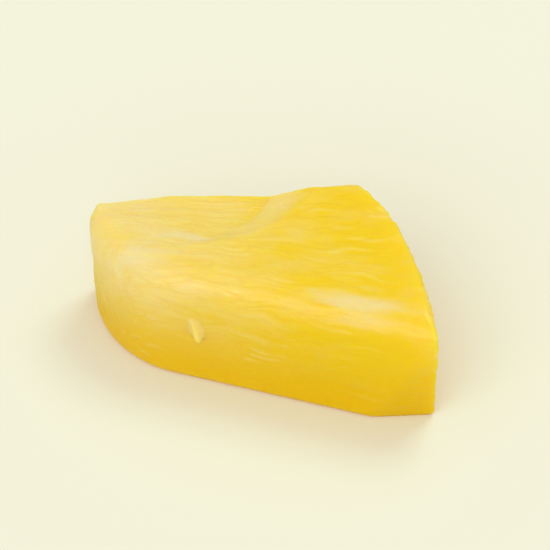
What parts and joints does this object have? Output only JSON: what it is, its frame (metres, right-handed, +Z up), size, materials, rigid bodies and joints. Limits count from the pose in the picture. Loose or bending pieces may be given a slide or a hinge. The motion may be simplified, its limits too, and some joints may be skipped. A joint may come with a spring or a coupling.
{
  "type": "pineapple chunk",
  "caption": "Wedge-shaped chunk of fresh pineapple, cut from a thick slice: fibrous knife-cut sides, a rounded core end and a curved rind end. Lies flat on a cut face.",
  "frame": {"origin": "under the middle of the chunk's box, on the surface that it lies on", "axes": "+X along the fibres from the core end to the rind end, +Y from the front cut to the back cut, +Z up"},
  "size_m": [0.0342, 0.018, 0.0126],
  "materials": {
    "pineapple_flesh": "wet, translucent, fibrous flesh"
  },
  "bodies": {
    "root": {"pineapple_chunk": "pineapple_flesh"}
  },
  "joints": []
}
